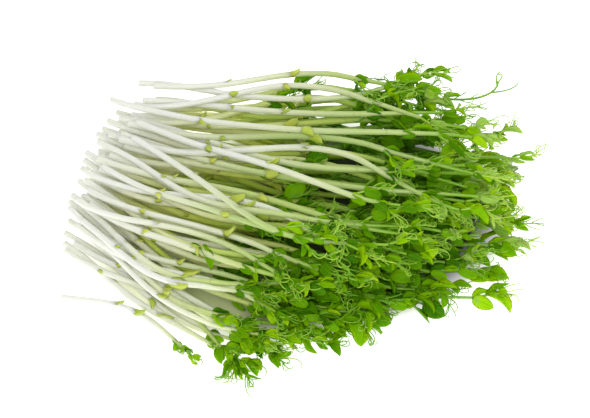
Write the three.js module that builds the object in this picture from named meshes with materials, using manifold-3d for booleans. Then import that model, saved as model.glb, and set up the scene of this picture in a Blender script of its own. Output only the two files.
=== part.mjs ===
// A heap of cut pea shoots, lying on a flat surface as they come from the knife.
//
// The heap is a loose fan. The cut ends lie together on the left (-X), and the leafy tips spread to
// the right and to the front (+X, -Y). It is built in layers, bottom to top. A layer holds a few
// sheaves side by side, and a sheaf is a few whole shoots whose stems cross and press into each other.
// A shoot is a pale, nearly leafless stem that turns green towards its tip, where leaflets and a
// tendril grow. Each sheaf is two nodes: its pale stems, and its green tops with their leaves.
// A few loose shoots lie across the top of the heap, and each has a stem node and a top node.
//
// Units are millimetres, +Z is up, and the origin is on the surface under the middle of the heap.

import * as THREE from "three";
import { mergeVertices } from "three/addons/utils/BufferGeometryUtils.js";
import Module from "manifold-3d";

const wasm = await Module();
wasm.setup();

// ---- Driving dimensions ----

const HEAP_MIDDLE = { x: 2.1, y: -9.1 }; // in the coordinates that the fan is laid out in

const CUT_DIAMETER = 2.7; // a stem at its cut end
const GREEN_DIAMETER = 2.2; // where the pale stem turns green
const TIP_DIAMETER = 1.2; // at the last leaf
const TENDRIL_DIAMETER = 0.9;
const TENDRIL_LENGTH = 17;
const OUTWARD_TENDRIL_LENGTH = 8; // on a leaflet that points away from the back of the heap
const OUTWARD_ANGLE = 0.4; // between such a leaflet and its shoot at least, in radians
const OUTWARD_CURL = 9; // how far the tendril at a tip at the back arches away from the heap

const LEAFLET_LENGTH = 11;
const LEAFLET_WIDTH = 7.8;
const LEAFLET_THICKNESS = 1.8; // at the midrib, of the ridged solid that it is swept as

// How high a leaflet's tip lies, as a share of the height of its layer.
const TIP_OF_LOW = 0.18; // on a shoot that lies low in its layer
const TIP_OF_HIGH = 0.82; // on a shoot that lies high
const TIP_ON_TOP = 1; // on a loose shoot on top of the heap, where nothing holds it down

// Each layer of the heap, bottom first: how many sheaves it has, how many shoots a sheaf holds, how
// many leaflets grow from the side of a shoot, the part of the fan that the layer covers (0 is the
// back, 1 the front), and how far it is turned, in degrees.
const LAYERS = [
  { sheaves: 5, shoots: 4, sideLeaflets: 0, from: -0.02, to: 1.1, turn: 1.5 },
  { sheaves: 6, shoots: 4, sideLeaflets: 1, from: -0.02, to: 0.98, turn: -2.5 },
  { sheaves: 5, shoots: 4, sideLeaflets: 2, from: -0.02, to: 1.01, turn: 2.5 },
  { sheaves: 4, shoots: 4, sideLeaflets: 2, from: -0.01, to: 0.88, turn: -1.5 },
  { sheaves: 3, shoots: 4, sideLeaflets: 2, from: 0, to: 0.78, turn: 3 },
];

// Loose shoots: the layer that each lies in, where it lies across the fan at its cut end and at its
// tip, the share of the length where it starts, the side that its lowest leaflet grows to, its reach,
// and how far it is turned against its layer, in degrees. Three lie on top of the heap, and a short
// one has slipped out on the surface in front.
const LOOSE = [
  { layer: 5, start: 0.28, end: 0.3, first: -0.04, side: 1, reach: 1, askew: 0 },
  { layer: 5, start: 0.36, end: 0.58, first: 0.06, side: 1, reach: 1, askew: 0 },
  { layer: 5, start: 0.48, end: 0.82, first: 0.08, side: 1, reach: 1, askew: 0 },
  { layer: 0, start: 1.38, end: 1.3, first: -0.02, side: -1, reach: 0.68, askew: 22 },
];

// Shoots that have grown past the others of their sheaf: the layer, the sheaf and the shoot in it,
// and the share of the fan's length where each one ends.
const LONG = [
  { layer: 1, sheaf: 3, shoot: 2, last: 1.18 },
  { layer: 2, sheaf: 1, shoot: 3, last: 1.06 },
  { layer: 2, sheaf: 0, shoot: 3, last: 1.1 },
];

const PITCH_AT_STEMS = 5.3; // height of a layer where there are only stems
const PITCH_AT_LEAVES = 7.7; // where the leaves hold the layers apart
const PITCH_AT_TIPS = 6; // and at the far tips
const LAYER_CLEARANCE = 0.3; // kept free at the bottom and at the top of each layer
const LOW_STEM_RISE = 1.65; // from the bottom of a layer to the middle of its lower stems
const RISE_WITH_PITCH = 0.45; // share of a layer's extra height that they rise with it
const SURFACE_STEM_RISE = 1.05; // the same in the bottom layer, where they are pressed flat
const SURFACE_TOP_RISE = 0.25; // and where those are thin and green
const CROSSING_RISE = 2.0; // from a lower pale stem to the one that crosses it and sinks into it
const GREEN_CROSSING_RISE = 0.9; // and the same where the stems are thin and green
const CROSSING_PERIOD = 1.06; // share of the length over which two stems cross and cross back

const BACK_PART = 0.4; // the part of the fan, from its back, where upper sheaves are shorter
const SHORTER_AT_BACK = 0.055; // share of the length lost there at most, for each layer up
const START_SPREAD = 0.7; // share of a sheaf's half width that its cut ends fill
const CROSSED_SPREAD = 0.6; // and its stems once they have crossed
const GREEN_FROM = 0.62; // share of a shoot's length where it turns green, in the bottom layer
const GREEN_LATER = 0.02; // and how much later it does in each layer above
const COLOUR_GAP = 0.3; // between the pale stem and the green top

const STEM_SIDES = 4;
const STEM_STEPS = 4;
const TOP_SIDES = 3;
const TOP_STEPS = 3;

const PALE = { color: "#dbe3bd", roughness: 0.45, metalness: 0 };
const GREEN = { color: "#5f9a2c", roughness: 0.5, metalness: 0 };

// ---- Small tools ----

const DEGREES = Math.PI / 180;
const mix = (a, b, t) => a + (b - a) * t;
const clamp = (v, low, high) => Math.min(high, Math.max(low, v));

function smooth(low, high, v) {
  const t = clamp((v - low) / (high - low), 0, 1);
  return t * t * (3 - 2 * t);
}

// A fixed random number from 0 to 1 for each pair of numbers.
function draw(i, j) {
  const v = Math.sin(i * 12.9898 + j * 78.233) * 43758.5453;
  return v - Math.floor(v);
}

// ---- The lie of the heap ----

// A point of the fan seen from above: across runs from the back (0) to the front (1) of the heap,
// and along from the cut ends (0) to the tips (1). Shoots at the front are shorter. A sheaf's reach
// is the share of the fan's length that it has, and a shoot may lie askew in its layer, in degrees.
function fanPoint(layer, across, along, reach, askew) {
  const turn = LAYERS[Math.min(layer, LAYERS.length - 1)].turn + askew;
  const startAngle = (-4 - 80 * across + 36 * across ** 2 + turn) * DEGREES;
  const endAngle = (-4 - 2 * across - 20 * across ** 4 + turn) * DEGREES;
  const length = reach * fanLength(layer, across);
  const late = along ** 2 / 2;
  const early = along - late;
  const sway = 3.2 * Math.sin(1.3 * Math.PI * along + 1.7 * layer);
  const x = -56 - 40 * across + 18 * across ** 2 + 1.4 * layer
    + length * (Math.cos(startAngle) * early + Math.cos(endAngle) * late);
  const y = 47 - 57 * across + sway
    + length * (Math.sin(startAngle) * early + Math.sin(endAngle) * late);
  return { x, y };
}

const greenShare = (layer) => GREEN_FROM + GREEN_LATER * layer;

function fanLength(layer, across) {
  return 100 + 243 * across - 462 * across ** 2 + 202 * across ** 3 - 1.5 * layer;
}

// The height of a layer at a place: thin where there are only stems, thick among the leaves.
function layerPitch(x, y) {
  const pastLeafLine = 0.848 * x - 0.53 * y;
  return PITCH_AT_STEMS
    + (PITCH_AT_LEAVES - PITCH_AT_STEMS) * smooth(-45, 25, pastLeafLine)
    - (PITCH_AT_LEAVES - PITCH_AT_TIPS) * smooth(35, 90, pastLeafLine);
}

// The height above the surface of a point that lies rise above the bottom of its layer.
// The layers roll gently, the upper ones most.
function heapHeight(layer, x, y, rise) {
  const roll = 3 * Math.sin(x / 24 + 1) * Math.sin(y / 26 + 0.5);
  return layer * layerPitch(x, y) + rise + Math.min(layer / 4, 1) * roll;
}

// ---- Solids ----

// A rib of a spine: its centre, its width and height across the spine, and its roll about it.
const rib = (centre, width, height = width, roll = 0) => ({ centre, width, height, roll });

// A closed solid round a spine of ribs. Its first and last ribs are the points where it closes.
function sweepSolid(spine, sides) {
  const shape = new THREE.SphereGeometry(1, sides, spine.length - 1);
  const position = shape.getAttribute("position");
  const up = new THREE.Vector3(0, 0, 1);
  for (let i = 0; i < position.count; i++) {
    const row = spine.length - 1 - Math.floor(i / (sides + 1));
    const { centre, width, height, roll } = spine[row];
    const before = spine[Math.max(0, row - 1)].centre;
    const after = spine[Math.min(spine.length - 1, row + 1)].centre;
    const ahead = after.clone().sub(before).normalize();
    const side = new THREE.Vector3().crossVectors(ahead, up).normalize();
    const over = new THREE.Vector3().crossVectors(side, ahead);
    const turn = 2 * Math.PI * (i % (sides + 1)) / sides;
    const closed = row === 0 || row === spine.length - 1;
    const across = closed ? 0 : Math.sin(turn) * width / 2;
    const upward = closed ? 0 : Math.cos(turn) * height / 2;
    const point = centre.clone()
      .addScaledVector(side, across * Math.cos(roll) + upward * Math.sin(roll))
      .addScaledVector(over, upward * Math.cos(roll) - across * Math.sin(roll));
    position.setXYZ(i, point.x, point.y, point.z);
  }
  return solidOf(shape);
}

// A closed three.js geometry as a solid that can be joined and cut.
function solidOf(geometry) {
  geometry.deleteAttribute("normal");
  geometry.deleteAttribute("uv");
  const merged = mergeVertices(geometry, 1e-3);
  return new wasm.Manifold(new wasm.Mesh({
    numProp: 3,
    vertProperties: merged.attributes.position.array,
    triVerts: new Uint32Array(merged.index.array),
  }));
}

const join = (solids) => solids.reduce((all, next) => all.add(next));

// What lies below the surface that the heap rests on.
function belowSurface() {
  const slab = new THREE.BoxGeometry(400, 400, 20);
  slab.translate(0, 0, -10);
  return solidOf(slab);
}

// The solid as a mesh, with each point lifted from its layer's own flat space to its real height.
function liftedMesh(name, solid, layer, look) {
  const { numProp, vertProperties, triVerts } = solid.getMesh();
  const points = new Float32Array(vertProperties.length / numProp * 3);
  for (let i = 0; i < points.length / 3; i++) {
    const [x, y, rise] = vertProperties.subarray(i * numProp, i * numProp + 3);
    const height = heapHeight(layer, x, y, rise);
    points.set([x - HEAP_MIDDLE.x, y - HEAP_MIDDLE.y, height], i * 3);
  }
  const geometry = new THREE.BufferGeometry();
  geometry.setAttribute("position", new THREE.BufferAttribute(points, 3));
  geometry.setIndex(new THREE.BufferAttribute(triVerts, 1));
  geometry.computeVertexNormals();
  const mesh = new THREE.Mesh(geometry, new THREE.MeshStandardMaterial(look));
  mesh.name = name;
  return mesh;
}

// The ribs of a stem along a path, tapering from one diameter to the other.
function stemRibs(path, startDiameter, endDiameter, steps) {
  return Array.from({ length: steps + 1 }, (_, i) => {
    return rib(path(i / steps), mix(startDiameter, endDiameter, i / steps));
  });
}

// The ribs of a leaflet that widens from its root and narrows to its tip.
function leafletRibs(root, tip, roll) {
  return [[0, 0], [0.3, 1], [0.72, 0.8], [1, 0]].map(([along, full]) => {
    const width = full * LEAFLET_WIDTH / Math.sin(Math.PI * 2 / 3);
    return rib(root.clone().lerp(tip, along), width, LEAFLET_THICKNESS * mix(1, full, 0.5), roll);
  });
}

// ---- Shoots ----

// One shoot. Its settings are its layer and its level there (0 low, 1 high), the middle and half width
// of its part of the fan and where it lies in that part (shareAt, from -1 to 1), its reach, how far it
// is askew, the side of its lowest leaflet, whether it is at the back of the heap, the shares of the
// length where it starts, turns green and ends, and a seed.
class Shoot {
  constructor(settings) {
    Object.assign(this, settings);
    this.thickness = mix(0.9, 1.1, draw(this.seed, 3));
  }

  // The point at that share of the length, in the layer's flat space.
  point(along) {
    const across = this.middle + this.half * this.shareAt(along);
    const { x, y } = fanPoint(this.layer, across, along, this.reach, this.askew);
    const low = this.layer
      ? LOW_STEM_RISE + RISE_WITH_PITCH * (layerPitch(x, y) - PITCH_AT_STEMS)
      : mix(SURFACE_STEM_RISE, SURFACE_TOP_RISE, smooth(0.45, 0.85, along));
    const crossing = mix(CROSSING_RISE, GREEN_CROSSING_RISE, smooth(0.66, 0.76, along));
    return new THREE.Vector3(x, y, low + this.level * crossing);
  }

  // The direction of growth, level with the layer, and the one to its left hand.
  heading(along) {
    const ahead = this.point(along + 0.01).sub(this.point(along - 0.01)).setZ(0).normalize();
    return { ahead, left: new THREE.Vector3(-ahead.y, ahead.x, 0) };
  }

  get length() {
    return this.reach * fanLength(this.layer, this.middle);
  }

  // The share of the length at a share of the green top.
  inTop(share) {
    return mix(this.greenFrom, this.last, share);
  }
}

// The shoots of a sheaf. Odd ones lie on the even ones and cross them from the other side.
function sheafShoots(layer, sheaf) {
  const { sheaves, shoots, from, to } = LAYERS[layer];
  const seed = layer * 10 + sheaf + 1;
  const mirror = draw(seed, 1) < 0.5 ? -1 : 1;
  const middle = mix(from, to, (sheaf + 0.5) / sheaves);
  const shortening = SHORTER_AT_BACK * layer * clamp(1 - middle / BACK_PART, 0, 1) ** 2;
  return Array.from({ length: shoots }, (_, k) => {
    const long = LONG.find((one) => one.layer === layer && one.sheaf === sheaf && one.shoot === k);
    const level = k % 2;
    const crossedRank = level ? (k - 1) / 2 : shoots / 2 + k / 2;
    const start = mirror * START_SPREAD * (2 * k / (shoots - 1) - 1);
    const crossed = mirror * CROSSED_SPREAD * (2 * crossedRank / (shoots - 1) - 1);
    const shareAt = (along) => mix(start, crossed, Math.sin(Math.PI * along / CROSSING_PERIOD) ** 2);
    return new Shoot({
      layer,
      level,
      middle,
      half: (to - from) / sheaves / 2,
      shareAt,
      reach: 1 - shortening,
      askew: 0,
      side: Math.sign(shareAt(0.8)),
      greenFrom: greenShare(layer) + 0.03 * (draw(seed, 2) - 0.5),
      first: mix(-0.04, 0.05, draw(seed, 10 + k)),
      last: long?.last ?? mix(0.92, 1.03, draw(seed, 20 + k)),
      atBack: sheaf === 0,
      seed: seed * 10 + k,
    });
  });
}

// A loose shoot, which lies across the fan by itself.
function looseShoot({ layer, start, end, first, side, reach, askew }, index) {
  return new Shoot({
    layer,
    level: 0,
    middle: 0,
    half: 1,
    shareAt: (along) => mix(start, end, smooth(0, 1, along)),
    reach,
    askew,
    side,
    atBack: false,
    greenFrom: greenShare(layer),
    first,
    last: 0.94,
    seed: 900 + index,
  });
}

// A leaflet's root and tip in the layer's flat space. It grows from its shoot at a share of the
// green top, at an angle to it, up from a shoot that lies high or on top of the heap, and down from
// one that lies low. It is outward if it points away from the back of the heap.
function leafletOf(shoot, topShare, angle) {
  const at = shoot.inTop(topShare);
  const root = shoot.point(at);
  const { ahead, left } = shoot.heading(at);
  const tip = root.clone()
    .addScaledVector(ahead, Math.cos(angle) * LEAFLET_LENGTH)
    .addScaledVector(left, Math.sin(angle) * LEAFLET_LENGTH);
  const inHeap = shoot.level ? TIP_OF_HIGH : TIP_OF_LOW;
  tip.z = layerPitch(tip.x, tip.y) * (shoot.layer === LAYERS.length ? TIP_ON_TOP : inHeap);
  return { root, tip, outward: shoot.atBack && angle > OUTWARD_ANGLE };
}

// The largest roll that keeps a leaflet inside its layer.
function rollWithin({ root, tip }, wanted) {
  const middle = root.clone().lerp(tip, 0.5);
  const room = Math.min(middle.z, layerPitch(middle.x, middle.y) - middle.z)
    - LAYER_CLEARANCE - LEAFLET_THICKNESS / 2;
  const most = Math.asin(clamp(room / (LEAFLET_WIDTH / 2), 0.05, 0.9));
  return clamp(wanted, -most, most);
}

// The leaflets of a shoot, the one at its tip first. Shoots at a sheaf's edge grow them inwards.
function leafletsOf(shoot) {
  const { side } = shoot;
  const low = 0.12 + 0.16 * draw(shoot.seed, 6);
  const sideLeaflets = LAYERS[shoot.layer]?.sideLeaflets ?? 2;
  return [
    leafletOf(shoot, 1, side * 0.25),
    leafletOf(shoot, low, side * mix(0.6, 0.9, draw(shoot.seed, 8))),
    leafletOf(shoot, low + 0.4, -side * mix(0.4, 0.7, draw(shoot.seed, 9))),
  ].slice(0, 1 + sideLeaflets);
}

// The ribs of a tendril: a thin thread that grows on from the tip and curls.
function tendrilRibs(shoot) {
  const start = shoot.point(shoot.last);
  const { ahead, left } = shoot.heading(shoot.last);
  const curl = shoot.atBack ? OUTWARD_CURL : mix(-1.5, 1.5, draw(shoot.seed, 4));
  return [0.1, 0.4, 0.7, 1, 1].map((t) => {
    const centre = start.clone()
      .addScaledVector(ahead, TENDRIL_LENGTH * t)
      .addScaledVector(left, curl * Math.sin(3 * t))
      .add(new THREE.Vector3(0, 0, 0.8 * Math.sin(4 * t)));
    return rib(centre, TENDRIL_DIAMETER);
  });
}

// The ribs of a thin tendril that runs on level from the tip of a leaflet, to a point.
function outwardTendrilRibs({ root, tip }) {
  const end = tip.clone().sub(root).setZ(0).setLength(OUTWARD_TENDRIL_LENGTH).add(tip);
  return [tip, end].map((centre) => rib(centre, TENDRIL_DIAMETER));
}

// ---- Nodes ----

function paleStem(shoot) {
  const start = shoot.first;
  const end = shoot.greenFrom - COLOUR_GAP / 2 / shoot.length;
  const path = (t) => shoot.point(mix(start, end, t));
  const ribs = stemRibs(path, CUT_DIAMETER * shoot.thickness, GREEN_DIAMETER, STEM_STEPS);
  return sweepSolid([ribs[0], ...ribs, ribs.at(-1)], STEM_SIDES);
}

// The green top of a shoot. Its stem ends in a leaflet or in a tendril.
function greenTop(shoot) {
  const start = shoot.greenFrom + COLOUR_GAP / 2 / shoot.length;
  const path = (t) => shoot.point(mix(start, shoot.last, t));
  const ribs = stemRibs(path, GREEN_DIAMETER, TIP_DIAMETER, TOP_STEPS);
  const [apex, ...leaflets] = leafletsOf(shoot).map((leaflet) => {
    const roll = rollWithin(leaflet, mix(-0.5, 0.5, draw(shoot.seed, leaflet.tip.z)));
    const ribs = leafletRibs(leaflet.root, leaflet.tip, roll);
    return leaflet.outward ? [...ribs.slice(0, -1), ...outwardTendrilRibs(leaflet)] : ribs;
  });
  const end = shoot.seed % 4 === 1 ? tendrilRibs(shoot) : apex.slice(1);
  const stem = sweepSolid([ribs[0], ...ribs, ...end], TOP_SIDES);
  return join([stem, ...leaflets.map((ribs) => sweepSolid(ribs, TOP_SIDES))]);
}

// The two nodes of some shoots that lie together.
function nodesOf(name, shoots, suffixes) {
  const layer = shoots[0].layer;
  let stems = join(shoots.map(paleStem));
  let tops = join(shoots.map(greenTop));
  if (layer === 0) {
    const below = belowSurface();
    stems = stems.subtract(below);
    tops = tops.subtract(below);
  }
  return [
    liftedMesh(`${name}_${suffixes[0]}`, stems, layer, PALE),
    liftedMesh(`${name}_${suffixes[1]}`, tops, layer, GREEN),
  ];
}

const heap = new THREE.Group();
LAYERS.forEach(({ sheaves }, layer) => {
  for (let sheaf = 0; sheaf < sheaves; sheaf++) {
    const name = `layer_${layer + 1}_sheaf_${sheaf + 1}`;
    heap.add(...nodesOf(name, sheafShoots(layer, sheaf), ["stems", "tops"]));
  }
});
LOOSE.forEach((place, index) => {
  heap.add(...nodesOf(`loose_shoot_${index + 1}`, [looseShoot(place, index)], ["stem", "top"]));
});

export default heap;
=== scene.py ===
# %% [markdown]
# # A heap of cut pea shoots
#
# This lesson dresses a heap of freshly cut pea shoots. The solid model gives the size and the lie
# of the heap. Here each stem gets its round, glassy body and its scale leaves, and each green top
# gets its stipules, leaflets and curling tendrils. Everything is in metres, +Z is up, and the heap
# rests on z = 0 with its cut ends towards -X.

# %% Load the solid model
import math

import bpy
import numpy as np
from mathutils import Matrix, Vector


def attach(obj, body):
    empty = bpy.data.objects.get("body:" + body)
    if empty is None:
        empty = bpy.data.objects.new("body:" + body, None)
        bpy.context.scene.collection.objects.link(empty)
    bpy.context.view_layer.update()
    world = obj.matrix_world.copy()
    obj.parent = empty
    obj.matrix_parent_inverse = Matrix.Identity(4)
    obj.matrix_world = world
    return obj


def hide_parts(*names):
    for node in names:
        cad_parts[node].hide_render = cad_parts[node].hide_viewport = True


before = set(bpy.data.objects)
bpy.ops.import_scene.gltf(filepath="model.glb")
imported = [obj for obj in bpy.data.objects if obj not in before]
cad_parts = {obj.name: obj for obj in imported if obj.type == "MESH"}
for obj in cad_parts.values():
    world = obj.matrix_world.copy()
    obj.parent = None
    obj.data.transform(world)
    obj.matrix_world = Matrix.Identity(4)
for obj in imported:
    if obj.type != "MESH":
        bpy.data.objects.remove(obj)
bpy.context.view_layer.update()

# %% [markdown]
# ## Small tools
#
# The heap is worked out with whole arrays, so these helpers take arrays as readily as numbers. The
# random draw is a formula and not a generator, because a formula gives a shoot the same value
# whatever order the shoots are made in.

# %% Small tools
MM = 0.001


def mix(a, b, t):
    """The value that lies at share t of the way from a to b."""
    return a + (b - a) * t


def smooth(low, high, v):
    """A soft step: 0 below low, 1 above high, and 3t^2 - 2t^3 between them."""
    t = np.clip((v - low) / (high - low), 0, 1)
    return t * t * (3 - 2 * t)


def draw(i, j):
    """A fixed random number from 0 to 1: the fraction left by a large multiple of a sine."""
    v = np.sin(i * 12.9898 + j * 78.233) * 43758.5453
    return v - np.floor(v)


def unit(v):
    """Vectors along the last axis, brought to length 1."""
    return v / np.maximum(np.linalg.norm(v, axis=-1, keepdims=True), 1e-12)


print("the draw for 1, 2 is", round(float(draw(1, 2)), 4))

# %% [markdown]
# ## How the heap lies
#
# A hand that lays down cut shoots leaves their ends together and lets the tips spread. That is a
# fan, and it can be given by formulas: where each shoot starts, which way it sets out, and which
# way it has turned by its tip. The fan is in layers, and a layer is in sheaves of a few shoots
# that cross. The formulas are the solid model's own, in millimetres, so each detailed shoot lies in
# the place of its solid one.

# %% The fan's formulas
HEAP_MIDDLE = np.array([2.1, -9.1])
# For each layer: its sheaves, the part of the fan that it covers, and the degrees it is turned by.
SHEAVES = [5, 6, 5, 4, 3]
COVERS_FROM = [-0.02, -0.02, -0.02, -0.01, 0.0]
COVERS_TO = [1.1, 0.98, 1.01, 0.88, 0.78]
TURNS = np.array([1.5, -2.5, 2.5, -1.5, 3.0, 3.0])
SHOOTS_IN_A_SHEAF = 4
# The millimetres from one layer to the next.
PITCH_AT_STEMS, PITCH_AT_LEAVES, PITCH_AT_TIPS = 5.3, 7.7, 6.0
# Shares of a shoot's length: where it turns green, and how much later it does so a layer up.
GREEN_FROM, GREEN_LATER = 0.62, 0.02
# Upper shoots in this part of the fan, at its back, are shorter by this share a layer.
BACK_PART, SHORTER_AT_BACK = 0.4, 0.055


def fan_length(layer, across):
    """A cubic in across, longest a third of the way from the back, and less for each layer up."""
    return 100 + 243 * across - 462 * across**2 + 202 * across**3 - 1.5 * layer


def fan_point(layer, across, along, reach, askew):
    """A point of the fan from above. Its two directions, at the cut end and at the tip, are blended
    by along and by half its square, and a sine sways the whole layer sideways. A sheaf's reach is
    the share of the fan's length that it has, and askew is the angle that it lies off its layer."""
    turn = TURNS[layer] + askew
    start = np.radians(-4 - 80 * across + 36 * across**2 + turn)
    end = np.radians(-4 - 2 * across - 20 * across**4 + turn)
    length = reach * fan_length(layer, across)
    late = along**2 / 2
    early = along - late
    sway = 3.2 * np.sin(1.3 * np.pi * along + 1.7 * layer)
    x = -56 - 40 * across + 18 * across**2 + 1.4 * layer
    y = 47 - 57 * across + sway
    x = x + length * (np.cos(start) * early + np.cos(end) * late)
    y = y + length * (np.sin(start) * early + np.sin(end) * late)
    return x, y


def layer_pitch(x, y):
    """The height of a layer: thin over bare stems, thick among leaves, thinner at the tips."""
    past = 0.848 * x - 0.53 * y
    thick = PITCH_AT_STEMS + (PITCH_AT_LEAVES - PITCH_AT_STEMS) * smooth(-45, 25, past)
    return thick - (PITCH_AT_LEAVES - PITCH_AT_TIPS) * smooth(35, 90, past)


def heap_height(layer, x, y, rise):
    """Layers stacked by their pitch, with a gentle roll of two sines that grows upwards."""
    roll = 3 * np.sin(x / 24 + 1) * np.sin(y / 26 + 0.5)
    return layer * layer_pitch(x, y) + rise + np.minimum(layer / 4, 1) * roll


print("the back of the heap is", round(float(fan_length(0, 0.0))), "mm long")

# %% [markdown]
# ## The list of shoots
#
# Each shoot is one row in a set of arrays: its layer and level, where it lies across its sheaf
# before and after it crosses its neighbours, where it turns green, and where it ends. A few have
# grown past the others of their sheaf. Three loose shoots lie across the top instead of in a sheaf,
# and a fourth has slipped out in front. Arrays like these are made once and read by every later
# step.

# %% The list of shoots
# The loose shoots have one column each.
LOOSE_LAYER = [5, 5, 5, 0]
LOOSE_START = [0.28, 0.36, 0.48, 1.38]
LOOSE_END = [0.3, 0.58, 0.82, 1.3]
LOOSE_REACH = [1.0, 1.0, 1.0, 0.68]
LOOSE_ASKEW = [0.0, 0.0, 0.0, 22.0]
LOOSE_FIRST = [-0.04, 0.06, 0.08, -0.02]
LOOSE_SIDE = [1, 1, 1, -1]
# For a layer and a sheaf, counted from 0: the shoot that is longer, and the share it ends at.
LONG = {(1, 3): (2, 1.18), (2, 1): (3, 1.06), (2, 0): (3, 1.1)}
# How far across its sheaf the outermost shoot lies, before and after it crosses the others.
START_SPREAD, CROSSED_SPREAD = 0.7, 0.6
CROSSING_PERIOD = 1.06


def crossing(along):
    """The square of a sine, from 0 to 1 and back: how far two shoots of a sheaf have crossed."""
    return np.sin(np.pi * along / CROSSING_PERIOD) ** 2


def sheaf_rows(layer, sheaf):
    """The four shoots of a sheaf. Odd ones lie over even ones and cross to the other side. In LONG,
    a layer and sheaf give the one shoot that ends at a later share of the length."""
    k = np.arange(SHOOTS_IN_A_SHEAF)
    seed = layer * 10 + sheaf + 1
    mirror = -1 if draw(seed, 1) < 0.5 else 1
    level = k % 2
    crossed = np.where(level, (k - 1) / 2, SHOOTS_IN_A_SHEAF / 2 + k / 2)
    last_rank = SHOOTS_IN_A_SHEAF - 1
    start = mirror * START_SPREAD * (2 * k / last_rank - 1)
    crossed = mirror * CROSSED_SPREAD * (2 * crossed / last_rank - 1)
    low, high = COVERS_FROM[layer], COVERS_TO[layer]
    middle = mix(low, high, (sheaf + 0.5) / SHEAVES[layer])
    at_back = np.clip(1 - middle / BACK_PART, 0, 1) ** 2
    last = mix(0.92, 1.03, draw(seed, 20 + k))
    if (layer, sheaf) in LONG:
        long_one, end = LONG[layer, sheaf]
        last[long_one] = end
    green_from = GREEN_FROM + GREEN_LATER * layer + 0.03 * (draw(seed, 2) - 0.5)
    return {
        "layer": np.full(k.shape, layer),
        "level": level,
        "middle": np.full(k.shape, middle),
        "half": np.full(k.shape, (high - low) / SHEAVES[layer] / 2),
        "reach": np.full(k.shape, 1 - SHORTER_AT_BACK * layer * at_back),
        "askew": np.zeros(k.shape),
        "start": start,
        "crossed": crossed,
        "side": np.sign(mix(start, crossed, crossing(0.8))),
        "green_from": np.full(k.shape, green_from),
        "first": mix(-0.04, 0.05, draw(seed, 10 + k)),
        "last": last,
        "seed": seed * 10 + k,
        "loose": np.zeros(k.shape, bool),
    }


def loose_rows(index):
    """One loose shoot, which lies in its layer from one place across the fan to another."""
    layer = LOOSE_LAYER[index]
    one = {
        "layer": layer, "level": 0, "middle": 0.0, "half": 1.0,
        "reach": LOOSE_REACH[index], "askew": LOOSE_ASKEW[index],
        "start": LOOSE_START[index], "crossed": LOOSE_END[index], "side": LOOSE_SIDE[index],
        "green_from": GREEN_FROM + GREEN_LATER * layer,
        "first": LOOSE_FIRST[index], "last": 0.94, "seed": 900 + index, "loose": True,
    }
    return {name: np.array([value]) for name, value in one.items()}


units = {}
for layer, count in enumerate(SHEAVES):
    for sheaf in range(count):
        units[f"layer_{layer + 1}_sheaf_{sheaf + 1}"] = sheaf_rows(layer, sheaf)
for index in range(len(LOOSE_START)):
    units[f"loose_shoot_{index + 1}"] = loose_rows(index)
shoots = sum(len(rows["seed"]) for rows in units.values())
print(len(units), "sheaves and loose shoots,", shoots, "shoots")

# %% [markdown]
# ## The middle line of a shoot
#
# Every stem, leaf and tendril hangs on this line. It is found for many shares of the length at
# once, as an array of shoots by places by three coordinates. The lift into the heap comes last, so
# the line never leaves its layer.

# %% The middle line of a shoot
WAVER = 0.9


def shoot_line(rows, along):
    """Points in metres for shares along each shoot. The place across the fan swings from start to
    crossed and back as the square of a sine, and the rise is the layer's formula. Two slow sines
    of up to a millimetre, of its own, keep any shoot from being a perfect arc."""
    col = {name: value[:, None] for name, value in rows.items()}
    swing = np.where(col["loose"], smooth(0, 1, along), crossing(along))
    across = col["middle"] + col["half"] * mix(col["start"], col["crossed"], swing)
    x, y = fan_point(col["layer"], across, along, col["reach"], col["askew"])
    own = mix(5, 11, draw(col["seed"], 36)) * along + 6 * draw(col["seed"], 37)
    x = x + 0.3 * WAVER * np.sin(own)
    y = y + WAVER * np.sin(own)
    inside = 1.65 + 0.45 * (layer_pitch(x, y) - PITCH_AT_STEMS)
    on_surface = mix(1.3, 1.0, smooth(0.45, 0.85, along))
    low = np.where(col["layer"] > 0, inside, on_surface)
    rise = low + col["level"] * mix(2.0, 0.9, smooth(0.66, 0.76, along))
    z = heap_height(col["layer"], x, y, rise) + 0.3 * WAVER * np.sin(0.8 * own + 2)
    return np.stack([x - HEAP_MIDDLE[0], y - HEAP_MIDDLE[1], z], axis=-1) * MM


def shoot_length(rows):
    """The length of each shoot in metres."""
    middle = np.where(rows["loose"], (rows["start"] + rows["crossed"]) / 2, rows["middle"])
    return rows["reach"] * fan_length(rows["layer"], middle) * MM


trial = shoot_line(units["layer_1_sheaf_1"], np.linspace(0, 1, 5)[None, :])
print("the first shoot starts at", trial[0, 0].round(4), "and ends at", trial[0, -1].round(4))

# %% [markdown]
# ## Closed forms from rings of points
#
# Stems, tendrils and leaves can all be made one way: a closed outline is carried along a path, and
# closes to a point at both ends. A curve object with a bevel could make the stems, but not a leaf
# that folds and waves. With arrays, one call makes all the stems of a sheaf.

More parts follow.
